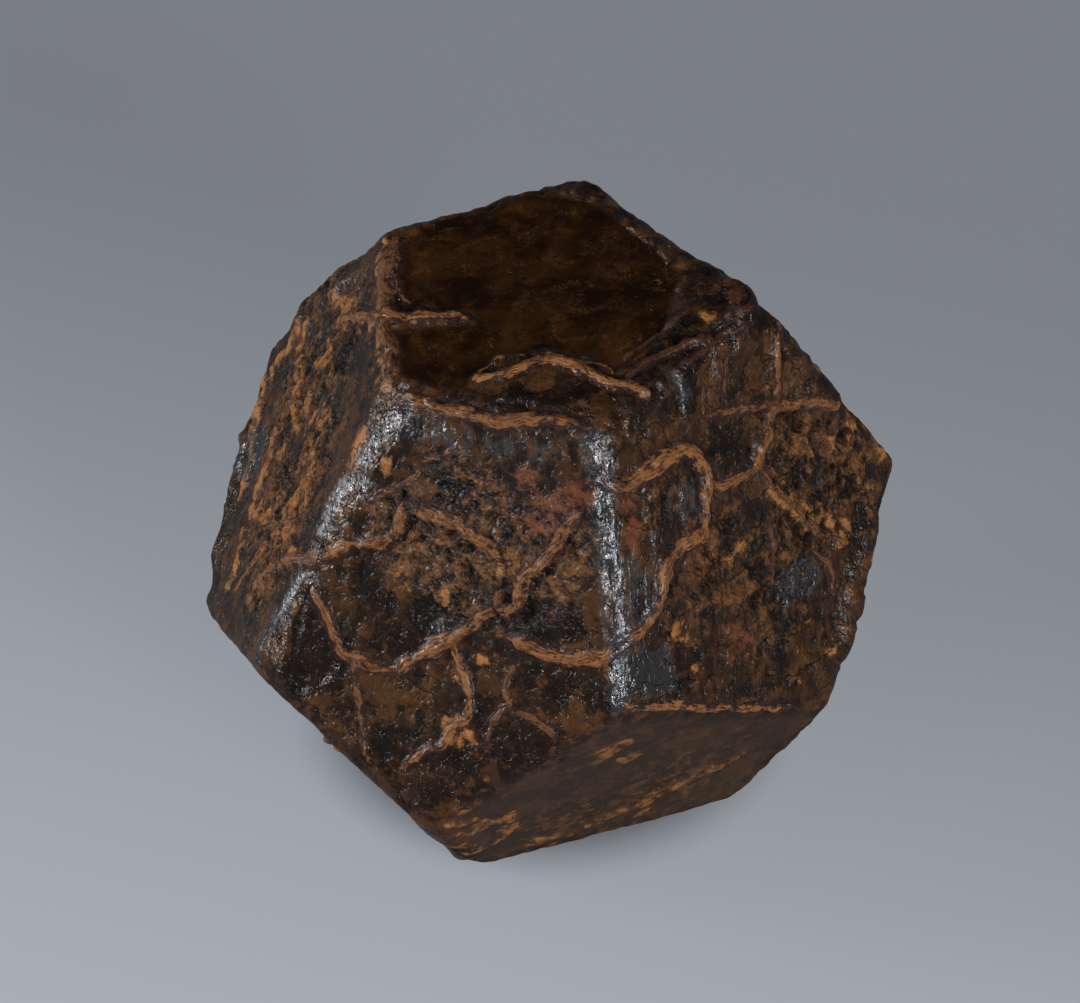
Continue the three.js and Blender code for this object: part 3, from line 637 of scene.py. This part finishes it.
streaky = np.array([STREAKY.get(name, 0.5) for name in FACES])[own_face]
lift = LONG_WAVES * wave(skin, 5.0, 2, 41.0) + SHORT_WAVES * wave(skin, 1.6, 3, 42.0)
lift += GROWTH_LINES * wave(line_place, 1.0, 2, 43.0) * (1 - in_pane) * (1 - edge_wear) * streaky
small_lumps = wave(roamed, 0.5, 2, 44.0)
large_lumps = wave(roamed, 1.0, 2, 45.0)
lift += (0.06 + 0.15 * rough) * small_lumps * (1 - 0.9 * smooth)
lift += (0.035 + 0.08 * rough) * large_lumps * (1 - 0.9 * smooth)
lift -= PANE_DROP * in_pane
lift -= PIT_DROP * ease(pit, -0.2, 0.3)
lift += PLATE_RISE * ease(plate, -0.1, 0.15) * (0.8 + 0.3 * wave(skin, 0.7, 2, 46.0))
lift += CRUST_RISE * ease(crust, -0.1, 0.6) * (0.6 + 0.6 * wave(roamed, 0.4, 2, 49.0))
lift += dent_lift
lift += vein_lift * (0.72 + 0.3 * wave(fibre_place * (7, 0.9, 1), 1.0, 2, 47.0)) + hump_lift
lift -= VEIN_GROOVE * ease(vein_core, -0.6, -0.1) * (1 - ease(vein_core, -0.1, 0.1))
chips = ease(wave(skin, 0.8, 3, 48.0), 0.1, 0.6) * (1 - ease(edge_gap, 0.1, 0.7))
lift -= CHIP_DEPTH * chips * (1 - on_vein)

above_rest = ease(-gaps[:, FACE_NAMES.index("rest")], 0.0, 0.7)
lift = np.where(above_rest < 1, np.minimum(lift, 0.1) * above_rest, lift)
placed = skin + outward * lift[:, None] + CENTRE
placed[:, 2] = np.maximum(placed[:, 2], 0)
crystal_mesh.vertices.foreach_set("co", (placed * MM).ravel())
crystal_mesh.polygons.foreach_set("use_smooth", [True] * len(crystal_mesh.polygons))
crystal_mesh.update()
print("heights run from %.2f to %.2f mm" % (lift.min(), lift.max()))
print("skin box in mm:", placed.min(0).round(2), placed.max(0).round(2))

# %% [markdown]
# ## Attributes for the material
#
# The material needs to know where each vein and stain lies. Painted image maps would do, but values
# on the vertices keep the whole recipe in code and go with the mesh. The growth lines get a UV map,
# because each face needs its own direction, and a UV map can change sharply from face to face.

# %% Store the masks on the mesh
calm = 0.8 * on_sill * (1 - 0.8 * ease(grain, 0.0, 0.6))
dusty = np.array([DUSTY.get(name, 0.0) for name in FACES])[own_face] * ease(edge_gap, 0.0, 0.6)
dusty = np.maximum(dusty, ease(stain(MATT), 0.0, 0.5))
MASKS = {
    "vein": vein_core, "tone": vein_tone, "pane": pane, "ochre": ochre, "red": red,
    "grain": grain, "bare": np.maximum(bare, hollow * 2 - 1), "silver": silver, "shine": shine,
    "hollow": hollow, "streaky": streaky, "calm": calm, "dusty": dusty,
    # lumps is the height of the sculpted lumps; the colour uses it to paint light on their tops and shade
    # in the hollows, and to place ochre.
    "lumps": 0.5 + 0.3 * (small_lumps + 0.5 * large_lumps),
}
for name, values in MASKS.items():
    layer = crystal_mesh.attributes.new(name, "FLOAT", "POINT")
    layer.data.foreach_set("value", np.clip(values, -9, 9).astype(np.float32))
layer = crystal_mesh.attributes.new("fibre", "FLOAT_VECTOR", "POINT")
layer.data.foreach_set("vector", fibre_place.astype(np.float32).ravel())

corner_vertex = np.empty(len(crystal_mesh.loops), int)
crystal_mesh.loops.foreach_get("vertex_index", corner_vertex)
middles = sharp[corner_vertex].reshape(-1, 3, 3).mean(1)
facet = (middles @ NORMALS.T - REACHES).argmax(1).repeat(3)
facet_shift = facet[:, None] * np.array((37.0, 11.0))
corner_place = skin[corner_vertex]
growth_map = (corner_place[:, None] * growth[facet]).sum(2) + facet_shift
growth_uv = crystal_mesh.uv_layers.new(name="growth")
growth_uv.data.foreach_set("uv", growth_map.astype(np.float32).ravel())
print("attributes:", len(MASKS) + 1, "and the map", growth_uv.name)

# %% [markdown]
# ## The rust material
#
# One material covers the stone, because one skin of rust does. It is built in layers, as the stone
# weathered: dark crust first, then growth streaks, golden grain, ochre and red stains, bare black
# patches, glossy panes, veins and the worn metal on the edges; after them come dark cracks and, last,
# painted shade in the hollows of the relief. Helpers for the nodes come first. All sizes are in
# millimetres, so Object coordinates, in metres, are scaled by a thousand.

# %% Node helpers
rust = bpy.data.materials.new("limonite_crust")
rust.use_nodes = True
tree = rust.node_tree
tree.nodes.clear()
links = tree.links


def node(kind, **settings):
    made = tree.nodes.new("ShaderNode" + kind)
    for name, value in settings.items():
        setattr(made, name, value)
    return made


def plug(value, socket):
    """Links a socket, or sets a plain number or colour on it."""
    if isinstance(value, bpy.types.NodeSocket):
        links.new(value, socket)
    else:
        socket.default_value = value


def plug_all(made, **entries):
    """Plugs sockets by name, with _ for each space: Base_Color is the socket Base Color."""
    for name, value in entries.items():
        plug(value, made.inputs[name.replace("_", " ")])


def maths(operation, first, second=0.0, clamp=False):
    made = node("Math", operation=operation, use_clamp=clamp)
    plug(first, made.inputs[0])
    plug(second, made.inputs[1])
    return made.outputs[0]


def add(first, second):
    return maths("ADD", first, second)


def times(first, second):
    return maths("MULTIPLY", first, second)


def less(first, second):
    return maths("SUBTRACT", first, second)


def step(value, low, high, bottom=0.0, top=1.0):
    made = node("MapRange", interpolation_type="SMOOTHSTEP")
    for number, entry in enumerate((value, low, high, bottom, top)):
        plug(entry, made.inputs[number])
    return made.outputs[0]


def blend(factor, below, above):
    made = node("Mix", data_type="RGBA", clamp_factor=True)
    plug(factor, made.inputs["Factor"])
    for entry, name in ((below, "A"), (above, "B")):
        socket = [each for each in made.inputs if each.name == name and each.type == "RGBA"][0]
        plug(entry if isinstance(entry, bpy.types.NodeSocket) else (*entry, 1), socket)
    return [each for each in made.outputs if each.type == "RGBA"][0]


def mask(name):
    return node("Attribute", attribute_name=name).outputs["Fac"]


def stretched(vector, scale):
    made = node("Mapping")
    plug_all(made, Vector=vector, Scale=scale)
    return made.outputs["Vector"]


def cloud(vector, size, detail=3.0, roughness=0.6, twist=0.0):
    """Noise from 0 to 1 with spots about `size` millimetres across."""
    made = node("TexNoise", noise_dimensions="3D")
    plug_all(made, Vector=vector, Scale=1 / size, Detail=detail, Roughness=roughness, Distortion=twist)
    return made.outputs["Fac"]


def cells(vector, size, feature="F1"):
    """Cells about `size` millimetres across: their Distance and Color are outputs."""
    made = node("TexVoronoi", feature=feature)
    plug_all(made, Vector=vector, Scale=1 / size)
    return made.outputs


def vectors(operation, *entries):
    made = node("VectorMath", operation=operation)
    for number, entry in enumerate(entries):
        plug(entry, made.inputs[number])
    return made.outputs["Vector"]


place = stretched(node("TexCoord").outputs["Object"], (1000, 1000, 1000))
growth_place = node("UVMap", uv_map="growth").outputs["UV"]
fibre = node("Attribute", attribute_name="fibre").outputs["Vector"]
print("helpers ready; nodes so far:", len(tree.nodes))

# %% [markdown]
# ### Noise patterns
#
# The same few patterns are used by colour, gloss and bump, so that a light speck is also a bump. If
# each used its own noise, the surface would look like wallpaper. The colour also paints light and
# shade on the relief: it is lighter on the lumps, with painted shade in the hollows. `broad` makes
# large uneven areas, `middle` the mottling, `fine` and `speckle` the grit, `relief` the coarse grain,
# and `crumb` rounds off the separate grains. `streak` follows the growth lines and `strand` the fibres
# of the veins.

# %% Shared patterns
FACET_SIZE = 0.11
FLAKE_SIZE = 1.5
BEND_SIZE = 0.7
BEND = 1.1
broad = cloud(place, 3.4, 3, 0.55, 0.4)
middle = cloud(stretched(place, (1, 1, 1.07)), 0.9, 5, 0.62, 0.5)
fine = cloud(place, 0.24, 4, 0.65)
speckle = cloud(stretched(place, (1.1, 1, 1)), 0.11, 3, 0.6)
relief = cloud(place, 0.3, 3, 0.55, 0.5)
crumb = cells(place, 0.3)["Distance"]
facet_colour = cells(stretched(place, (1, 1.05, 0.95)), FACET_SIZE)["Color"]
streak = cloud(stretched(growth_place, (1, 0.12, 1)), 0.22, 2, 0.5)
streak_broad = cloud(stretched(growth_place, (1, 0.2, 1)), 0.6, 3, 0.55)
strand = cloud(stretched(fibre, (1, 0.16, 1)), 0.075, 1, 0.5, 0.3)
ragged = less(add(times(middle, 0.9), times(fine, 0.7)), 0.8)

bend = node("TexNoise")
plug_all(bend, Vector=place, Scale=1 / BEND_SIZE, Detail=3)
bent = vectors("MULTIPLY_ADD", bend.outputs["Color"], (BEND, BEND, BEND), place)
flake_parts = node("SeparateColor")
plug(cells(bent, FLAKE_SIZE)["Color"], flake_parts.inputs[0])
flake_tone, flake_rise = flake_parts.outputs[0], flake_parts.outputs[1]
crack = cells(bent, FLAKE_SIZE, "DISTANCE_TO_EDGE")["Distance"]
in_crack = less(1.0, step(crack, 0.0, 0.035))
print("patterns ready; nodes so far:", len(tree.nodes))

# %% [markdown]
# ### Where each layer lies
#
# A stain's attribute is soft. Adding the ragged noise before a narrow step gives a crisp, broken
# border that follows the grain, which is how rust spreads.

# %% Layer masks
grain_on = step(add(mask("grain"), times(ragged, 2.0)), -0.3, 0.3)
lumps = mask("lumps")
ochre_on = step(add(mask("ochre"), add(times(ragged, 1.8), times(less(lumps, 0.5), 1.2))), 0.0, 0.4)
red_on = step(add(mask("red"), times(ragged, 2.4)), 0.0, 0.4)
bare_on = step(add(mask("bare"), times(ragged, 1.8)), -0.05, 0.3)
pane_on = step(add(mask("pane"), times(ragged, 0.5)), -0.05, 0.3)
vein_on = step(add(mask("vein"), times(ragged, 1.0)), -0.05, 0.25)
vein_heart = step(add(mask("vein"), add(times(ragged, 1.2), times(less(strand, 0.5), 1.4))), 0.08, 0.45)
worn = add(mask("silver"), add(times(ragged, 0.9), times(less(streak, 0.5), 1.6)))
silver_on = times(step(worn, -0.1, 0.6), less(1.0, mask("hollow")))
shine_on = step(add(mask("shine"), times(ragged, 0.5)), -0.05, 0.15)
calm = maths("MAXIMUM", pane_on, mask("calm"))
pane_gloss = times(pane_on, less(1.0, step(mask("vein"), -0.6, -0.1)))
streaky = mask("streaky")
print("layer masks ready; nodes so far:", len(tree.nodes))

# %% [markdown]
# ### Colour
#
# The colours are mixed from the bottom layer up. They are dark: limonite that looks mid brown in
# the hand reflects only a twentieth of the light.

# %% Colour layers
# Near black: the bare crust, dark streaks and cracks, and also the painted shade in the hollows.
BLACK_CRUST_AND_SHADE = (0.0045, 0.0032, 0.0028)
COAL = (0.012, 0.0082, 0.0066)
UMBER = (0.036, 0.0168, 0.0080)
BROWN = (0.080, 0.0335, 0.0118)
GOLD = (0.140, 0.061, 0.021)
OCHRE_LIGHT = (0.32, 0.134, 0.039)
OCHRE_DARK = (0.12, 0.045, 0.014)
RED_RUST = (0.130, 0.042, 0.022)
PLUM = (0.028, 0.014, 0.013)
TAN = (0.255, 0.108, 0.037)
DULL_VEIN = (0.048, 0.021, 0.013)
PANE_DARK = (0.0085, 0.0035, 0.0015)
PANE_WARM = (0.035, 0.0142, 0.0045)
# The sill's grey-brown: partly its own tone, partly painted reflection and light, made greyer and lighter
# for the floor's haze mirrored in it and the light the floor throws up.
SILL_GREY_AND_PAINTED_HAZE = (0.045, 0.0265, 0.0170)
METAL = (0.095, 0.096, 0.102)
STEEL = (0.080, 0.078, 0.078)

# grit and grains include the sculpted lumps, so the brown and golden mixed from them are partly the
# crust's own mottling and grain and partly painted light on the tops of the lumps.
grit = add(times(middle, 0.3), add(times(relief, 0.3), times(lumps, 0.4)))
grains = add(times(relief, 0.35), add(times(speckle, 0.2), times(lumps, 0.45)))
# Painted shade: where the grains and the sculpted lumps are low, the colour is later darkened towards
# black.
painted_hollow_shade = less(1.0, step(grains, 0.38, 0.49))
colour = blend(step(add(times(broad, 0.5), times(middle, 0.5)), 0.43, 0.58), COAL, UMBER)
colour = blend(step(grit, 0.47, 0.62), colour, BROWN)
colour = blend(times(step(streak, 0.5, 0.66), times(streaky, 0.45)), colour, BLACK_CRUST_AND_SHADE)
colour = blend(times(step(streak_broad, 0.5, 0.66), times(streaky, 0.4)), colour, BROWN)
colour = blend(times(step(flake_tone, 0.35, 0.75), 0.55), colour, COAL)
colour = blend(times(step(flake_rise, 0.6, 0.95), 0.5), colour, BROWN)
golden = times(grain_on, step(grains, 0.47, 0.60))
colour = blend(golden, colour, GOLD)
# Painted reflection and light on the sill: its colour is turned towards the grey-brown above.
colour = blend(times(mask("calm"), 0.65), colour, SILL_GREY_AND_PAINTED_HAZE)
colour = blend(times(red_on, step(grains, 0.42, 0.58, 0.15, 0.8)), colour, RED_RUST)
colour = blend(times(bare_on, 0.85), colour, BLACK_CRUST_AND_SHADE)
ochre_mix = blend(step(grit, 0.42, 0.58), OCHRE_DARK, OCHRE_LIGHT)
colour = blend(times(ochre_on, less(0.85, times(mask("calm"), 0.35))), colour, ochre_mix)
pane_mix = blend(step(add(times(broad, 0.7), times(middle, 0.3)), 0.38, 0.68), PANE_DARK, PANE_WARM)
pane_fleck = step(add(times(fine, 0.5), times(middle, 0.5)), 0.50, 0.62)
pane_mix = blend(times(pane_fleck, 0.4), pane_mix, UMBER)
pane_grit = step(add(times(speckle, 0.5), times(middle, 0.5)), 0.55, 0.63)
pane_mix = blend(times(pane_grit, 0.6), pane_mix, BROWN)
# Painted shade in the hollows of the pane.
pane_mix = blend(times(painted_hollow_shade, 0.6), pane_mix, BLACK_CRUST_AND_SHADE)
colour = blend(pane_on, colour, pane_mix)
halo = times(step(mask("vein"), -0.75, -0.1), 0.6)
colour = blend(halo, colour, PLUM)
vein_light = times(mask("tone"), step(add(times(strand, 0.55), times(fine, 0.45)), 0.36, 0.58))
vein_mix = blend(vein_heart, PLUM, blend(vein_light, DULL_VEIN, TAN))
colour = blend(times(vein_on, 0.9), colour, vein_mix)
colour = blend(times(shine_on, 0.7), colour, STEEL)
colour = blend(times(silver_on, 0.85), colour, METAL)
open_crack = times(in_crack, step(add(middle, times(streaky, 0.07)), 0.45, 0.6))
covered = maths("MAXIMUM", maths("MAXIMUM", pane_on, vein_on), maths("MAXIMUM", silver_on, mask("calm")))
open_crack = times(open_crack, less(1.0, covered))
colour = blend(times(open_crack, 0.7), colour, BLACK_CRUST_AND_SHADE)
# Painted shade: the hollows of the relief are darkened towards black, more in the grainy crust and hardly
# on the pane and the sill.
colour = blend(times(painted_hollow_shade, times(add(0.6, times(grain_on, 0.3)), less(1.0, calm))), colour, BLACK_CRUST_AND_SHADE)
print("colour layers ready; nodes so far:", len(tree.nodes))

# %% [markdown]
# ### Gloss and bump
#
# Panes are almost polished and dust is matt. Where the crust is grainy, tiny facets lean each its own
# way and catch the light one by one; the worn bands lean less, so they shine in streaks along the
# growth lines. The bump adds what is too fine to sculpt: grains, fibres along the veins, and streaks.

# %% Gloss, metal and bump
roughness = step(fine, 0.4, 0.6, 0.11, 0.27)
roughness = add(roughness, times(ochre_on, 0.25))
roughness = less(roughness, times(pane_gloss, 0.04))
roughness = add(roughness, times(mask("hollow"), 0.08))
roughness = add(roughness, times(mask("dusty"), 0.4))
roughness = add(roughness, times(silver_on, 0.05))
metallic = maths("MAXIMUM", times(silver_on, 0.85), times(shine_on, 0.7))

height = times(less(relief, 0.5), add(0.11, times(grain_on, 0.33)))
height = add(height, times(less(0.5, crumb), times(grain_on, 0.16)))
height = add(height, times(less(speckle, 0.5), add(0.012, times(silver_on, 0.008))))
height = add(height, times(less(streak, 0.5), times(streaky, add(0.03, times(silver_on, 0.08)))))
height = add(height, times(flake_rise, add(0.06, times(streaky, 0.06))))
height = less(height, times(open_crack, 0.03))
height = times(height, less(1.0, times(calm, 0.94)))
height = times(height, less(1.0, times(vein_on, 0.4)))
height = add(height, times(less(strand, 0.5), times(vein_on, 0.05)))

facet_parts = node("SeparateColor")
plug(facet_colour, facet_parts.inputs[0])
keen = maths("POWER", maths("FRACT", times(facet_parts.outputs[0], 9.7)), 3.0)
tilt = add(0.03, times(keen, add(0.10, times(grain_on, 0.4))))
tilt = times(tilt, less(1.0, times(bare_on, 0.7)))
tilt = add(tilt, times(shine_on, 0.1))
tilt = times(tilt, less(1.0, times(maths("MAXIMUM", silver_on, mask("hollow")), 0.6)))
tilt = times(tilt, less(1.0, times(calm, 0.96)))

surface_bump = node("Bump")
plug_all(surface_bump, Distance=MM, Strength=1.0, Height=height)

facet_turn = node("VectorMath", operation="SCALE")
plug(vectors("SUBTRACT", facet_colour, (0.5, 0.5, 0.5)), facet_turn.inputs[0])
plug(tilt, facet_turn.inputs["Scale"])
leaning = vectors("ADD", surface_bump.outputs["Normal"], facet_turn.outputs["Vector"])
facet_normal = vectors("NORMALIZE", leaning)

shader = node("BsdfPrincipled", distribution="GGX")
plug_all(shader, IOR=1.46, Specular_IOR_Level=0.22)
plug_all(shader, Base_Color=colour, Roughness=roughness, Metallic=metallic, Normal=facet_normal)
output = node("OutputMaterial")
links.new(shader.outputs["BSDF"], output.inputs["Surface"])
crystal_mesh.materials.append(rust)
print("rust material:", len(tree.nodes), "nodes")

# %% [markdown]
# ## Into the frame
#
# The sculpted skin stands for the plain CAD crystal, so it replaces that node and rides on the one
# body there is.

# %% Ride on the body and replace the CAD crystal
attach(crystal, "root")
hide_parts("pyrite_crystal")
print("crystal rides on root")

# %% [markdown]
# ## The table
#
# A wide pale disc with a rim that curves up all round gives every view a plain background. It glows
# a little, like a light table, so that no hard shadow falls on it; the glow is painted light, brighter
# in front than behind, with a painted shadow under the crystal. Its mirror image in the stone is
# dimmed, as a polarising filter would dim it, and so is the light that it throws up into the stone's
# shadows. It is stage, not part of the crystal.

# %% Floor
TABLE_RADIUS = 1.2
NEAR_GLOW = (-0.045, 0.45)
FAR_GLOW = (0.045, 0.198)
SLANT = 0.35
PAINTED_SHADOW_TO = 0.0065
PAINTED_SHADOW_END = 0.0115
PAINTED_SHADOW_SHARE = 0.15
MIRRORED_CUT = 0.65
THROWN_CUT = 0.3
RIM_STEPS = ((0.12, 0.008), (0.12, 0.03), (0.11, 0.07), (0.09, 0.12), (0.06, 0.17), (0.03, 0.2))

table = bmesh.new()
bmesh.ops.create_circle(table, cap_ends=True, radius=TABLE_RADIUS, segments=96)
rim = table.edges[:]
reach = TABLE_RADIUS
for out, up in RIM_STEPS:
    made = bmesh.ops.extrude_edge_only(table, edges=rim)["geom"]
    moved = [part for part in made if isinstance(part, bmesh.types.BMVert)]
    rim = [part for part in made if isinstance(part, bmesh.types.BMEdge)]
    rim = [edge for edge in rim if all(vert in moved for vert in edge.verts)]
    growth_scale = (reach + out) / reach
    bmesh.ops.scale(table, vec=(growth_scale, growth_scale, 1), verts=moved)
    bmesh.ops.translate(table, vec=(0, 0, up), verts=moved)
    reach += out
bmesh.ops.recalc_face_normals(table, faces=table.faces[:])
table_mesh = bpy.data.meshes.new("table")
table.to_mesh(table_mesh)
table.free()
table_mesh.polygons.foreach_set("use_smooth", [True] * len(table_mesh.polygons))
floor = into_scene("table", table_mesh)

grey = bpy.data.materials.new("pale_grey")
grey.use_nodes = True
tree = grey.node_tree  # from here on the node helpers build the floor's material
links = tree.links
grey_shader = tree.nodes["Principled BSDF"]
plug_all(grey_shader, Base_Color=(0.05, 0.052, 0.057, 1), Roughness=0.7, Specular_IOR_Level=0.0)
plug_all(grey_shader, Emission_Color=(0.83, 0.9, 1, 1))
on_table = node("TexCoord").outputs["Object"]
parts = node("SeparateXYZ")
links.new(on_table, parts.inputs[0])
span = node("VectorMath", operation="LENGTH")
links.new(on_table, span.inputs[0])
slanted = add(parts.outputs["Y"], times(parts.outputs["X"], SLANT))
# Painted light: the glow is brighter in front and to the left than behind.
glow = step(slanted, NEAR_GLOW[0], FAR_GLOW[0], NEAR_GLOW[1], FAR_GLOW[1])
# Painted shadow: the glow is turned down under the crystal, within a few millimetres of its middle.
glow = times(glow, step(span.outputs["Value"], PAINTED_SHADOW_TO, PAINTED_SHADOW_END, PAINTED_SHADOW_SHARE, 1.0))
rays = node("LightPath")
glow = times(glow, less(1.0, times(rays.outputs["Is Glossy Ray"], MIRRORED_CUT)))
glow = times(glow, less(1.0, times(rays.outputs["Is Diffuse Ray"], THROWN_CUT)))
links.new(glow, grey_shader.inputs["Emission Strength"])
table_mesh.materials.append(grey)
print("table radius: %.2f m" % reach)

# %% [markdown]
# ## Light and camera
#
# A soft lamp stands low in front, a little to the right, and makes most of the relief. One about as
# strong lights the left side, and a faint one hangs above. Nothing stands behind, so the glossy top
# pane mirrors the dark and keeps its depth. The camera looks down by 38 degrees through a long
# lens, which keeps the crystal's proportions true.

# %% Lamps
LAMPS = {
    "lamp_front": ((0.46, -0.82, 0.34), 0.90, 0.26, 8.7),
    "lamp_left": ((-0.97, 0.05, 0.25), 0.90, 0.24, 8.8),
    "lamp_above": ((-0.30, -0.25, 0.91), 0.55, 0.26, 0.3),
}
middle_of_crystal = Vector(CENTRE * MM)
for name, (toward, away, size, watts) in LAMPS.items():
    data = bpy.data.lights.new(name, "AREA")
    data.shape = "DISK"
    data.size = size
    data.energy = watts
    lamp = into_scene(name, data)
    aim = Vector(toward).normalized()
    lamp.location = middle_of_crystal + aim * away
    lamp.rotation_mode = "QUATERNION"
    lamp.rotation_quaternion = aim.to_track_quat("Z", "Y")

world = bpy.data.worlds.new("studio")
world.use_nodes = True
world.node_tree.nodes["Background"].inputs["Color"].default_value = (0.007, 0.0073, 0.0082, 1)
bpy.context.scene.world = world
bpy.context.scene.view_settings.view_transform = "Standard"
print("lamps:", len(LAMPS))

# %% Camera
ELEVATION = math.radians(38)
CAMERA_AWAY = 0.288
AIM_RIGHT = 0.13 * MM
AIM_UP = 0.89 * MM
LENS = 225.1
SENSOR = 36
back = Vector((0, -math.cos(ELEVATION), math.sin(ELEVATION)))
up = Vector((0, math.sin(ELEVATION), math.cos(ELEVATION)))
target = middle_of_crystal + Vector((AIM_RIGHT, 0, 0)) + up * AIM_UP
camera_data = bpy.data.cameras.new("camera")
camera_data.lens = LENS
camera_data.sensor_width = SENSOR
camera_data.clip_start = 0.01
camera_data.clip_end = 20
camera = into_scene("camera", camera_data)
camera.location = target + back * CAMERA_AWAY
camera.rotation_mode = "QUATERNION"
camera.rotation_quaternion = back.to_track_quat("Z", "Y")
bpy.context.scene.camera = camera
print("camera at", [round(v, 3) for v in camera.location])
